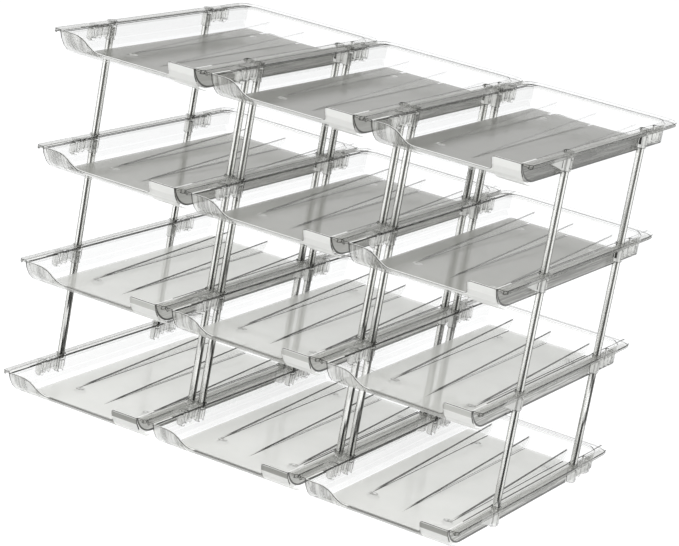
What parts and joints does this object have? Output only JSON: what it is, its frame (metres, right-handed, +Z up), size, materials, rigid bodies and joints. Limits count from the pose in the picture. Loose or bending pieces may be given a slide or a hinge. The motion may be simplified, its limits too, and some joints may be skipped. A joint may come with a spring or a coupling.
{
  "type": "can organizer rack",
  "caption": "Clear plastic rack of stacked trays on round rods that keeps drink cans in rolling rows.",
  "frame": {"origin": "on the standing surface, under the middle of the rack", "axes": "+X to the right along the columns, +Y from the cut-out fronts to the back, +Z up"},
  "size_m": [0.429, 0.308, 0.3149],
  "materials": {
    "clear_tray": "clear gloss, moulded",
    "clear_rod": "clear gloss"
  },
  "bodies": {
    "root": {"tray_left_1": "clear_tray", "tray_left_2": "clear_tray", "tray_left_3": "clear_tray", "tray_left_4": "clear_tray", "tray_middle_1": "clear_tray", "tray_middle_2": "clear_tray", "tray_middle_3": "clear_tray", "tray_middle_4": "clear_tray", "tray_right_1": "clear_tray", "tray_right_2": "clear_tray", "tray_right_3": "clear_tray", "tray_right_4": "clear_tray", "rod_left_1_front_left": "clear_rod", "rod_left_1_front_right": "clear_rod", "rod_left_1_rear_left": "clear_rod", "rod_left_1_rear_right": "clear_rod", "rod_left_2_front_left": "clear_rod", "rod_left_2_front_right": "clear_rod", "rod_left_2_rear_left": "clear_rod", "rod_left_2_rear_right": "clear_rod", "rod_left_3_front_left": "clear_rod", "rod_left_3_front_right": "clear_rod", "rod_left_3_rear_left": "clear_rod", "rod_left_3_rear_right": "clear_rod", "rod_middle_1_front_left": "clear_rod", "rod_middle_1_front_right": "clear_rod", "rod_middle_1_rear_left": "clear_rod", "rod_middle_1_rear_right": "clear_rod", "rod_middle_2_front_left": "clear_rod", "rod_middle_2_front_right": "clear_rod", "rod_middle_2_rear_left": "clear_rod", "rod_middle_2_rear_right": "clear_rod", "rod_middle_3_front_left": "clear_rod", "rod_middle_3_front_right": "clear_rod", "rod_middle_3_rear_left": "clear_rod", "rod_middle_3_rear_right": "clear_rod", "rod_right_1_front_left": "clear_rod", "rod_right_1_front_right": "clear_rod", "rod_right_1_rear_left": "clear_rod", "rod_right_1_rear_right": "clear_rod", "rod_right_2_front_left": "clear_rod", "rod_right_2_front_right": "clear_rod", "rod_right_2_rear_left": "clear_rod", "rod_right_2_rear_right": "clear_rod", "rod_right_3_front_left": "clear_rod", "rod_right_3_front_right": "clear_rod", "rod_right_3_rear_left": "clear_rod", "rod_right_3_rear_right": "clear_rod"}
  },
  "joints": []
}
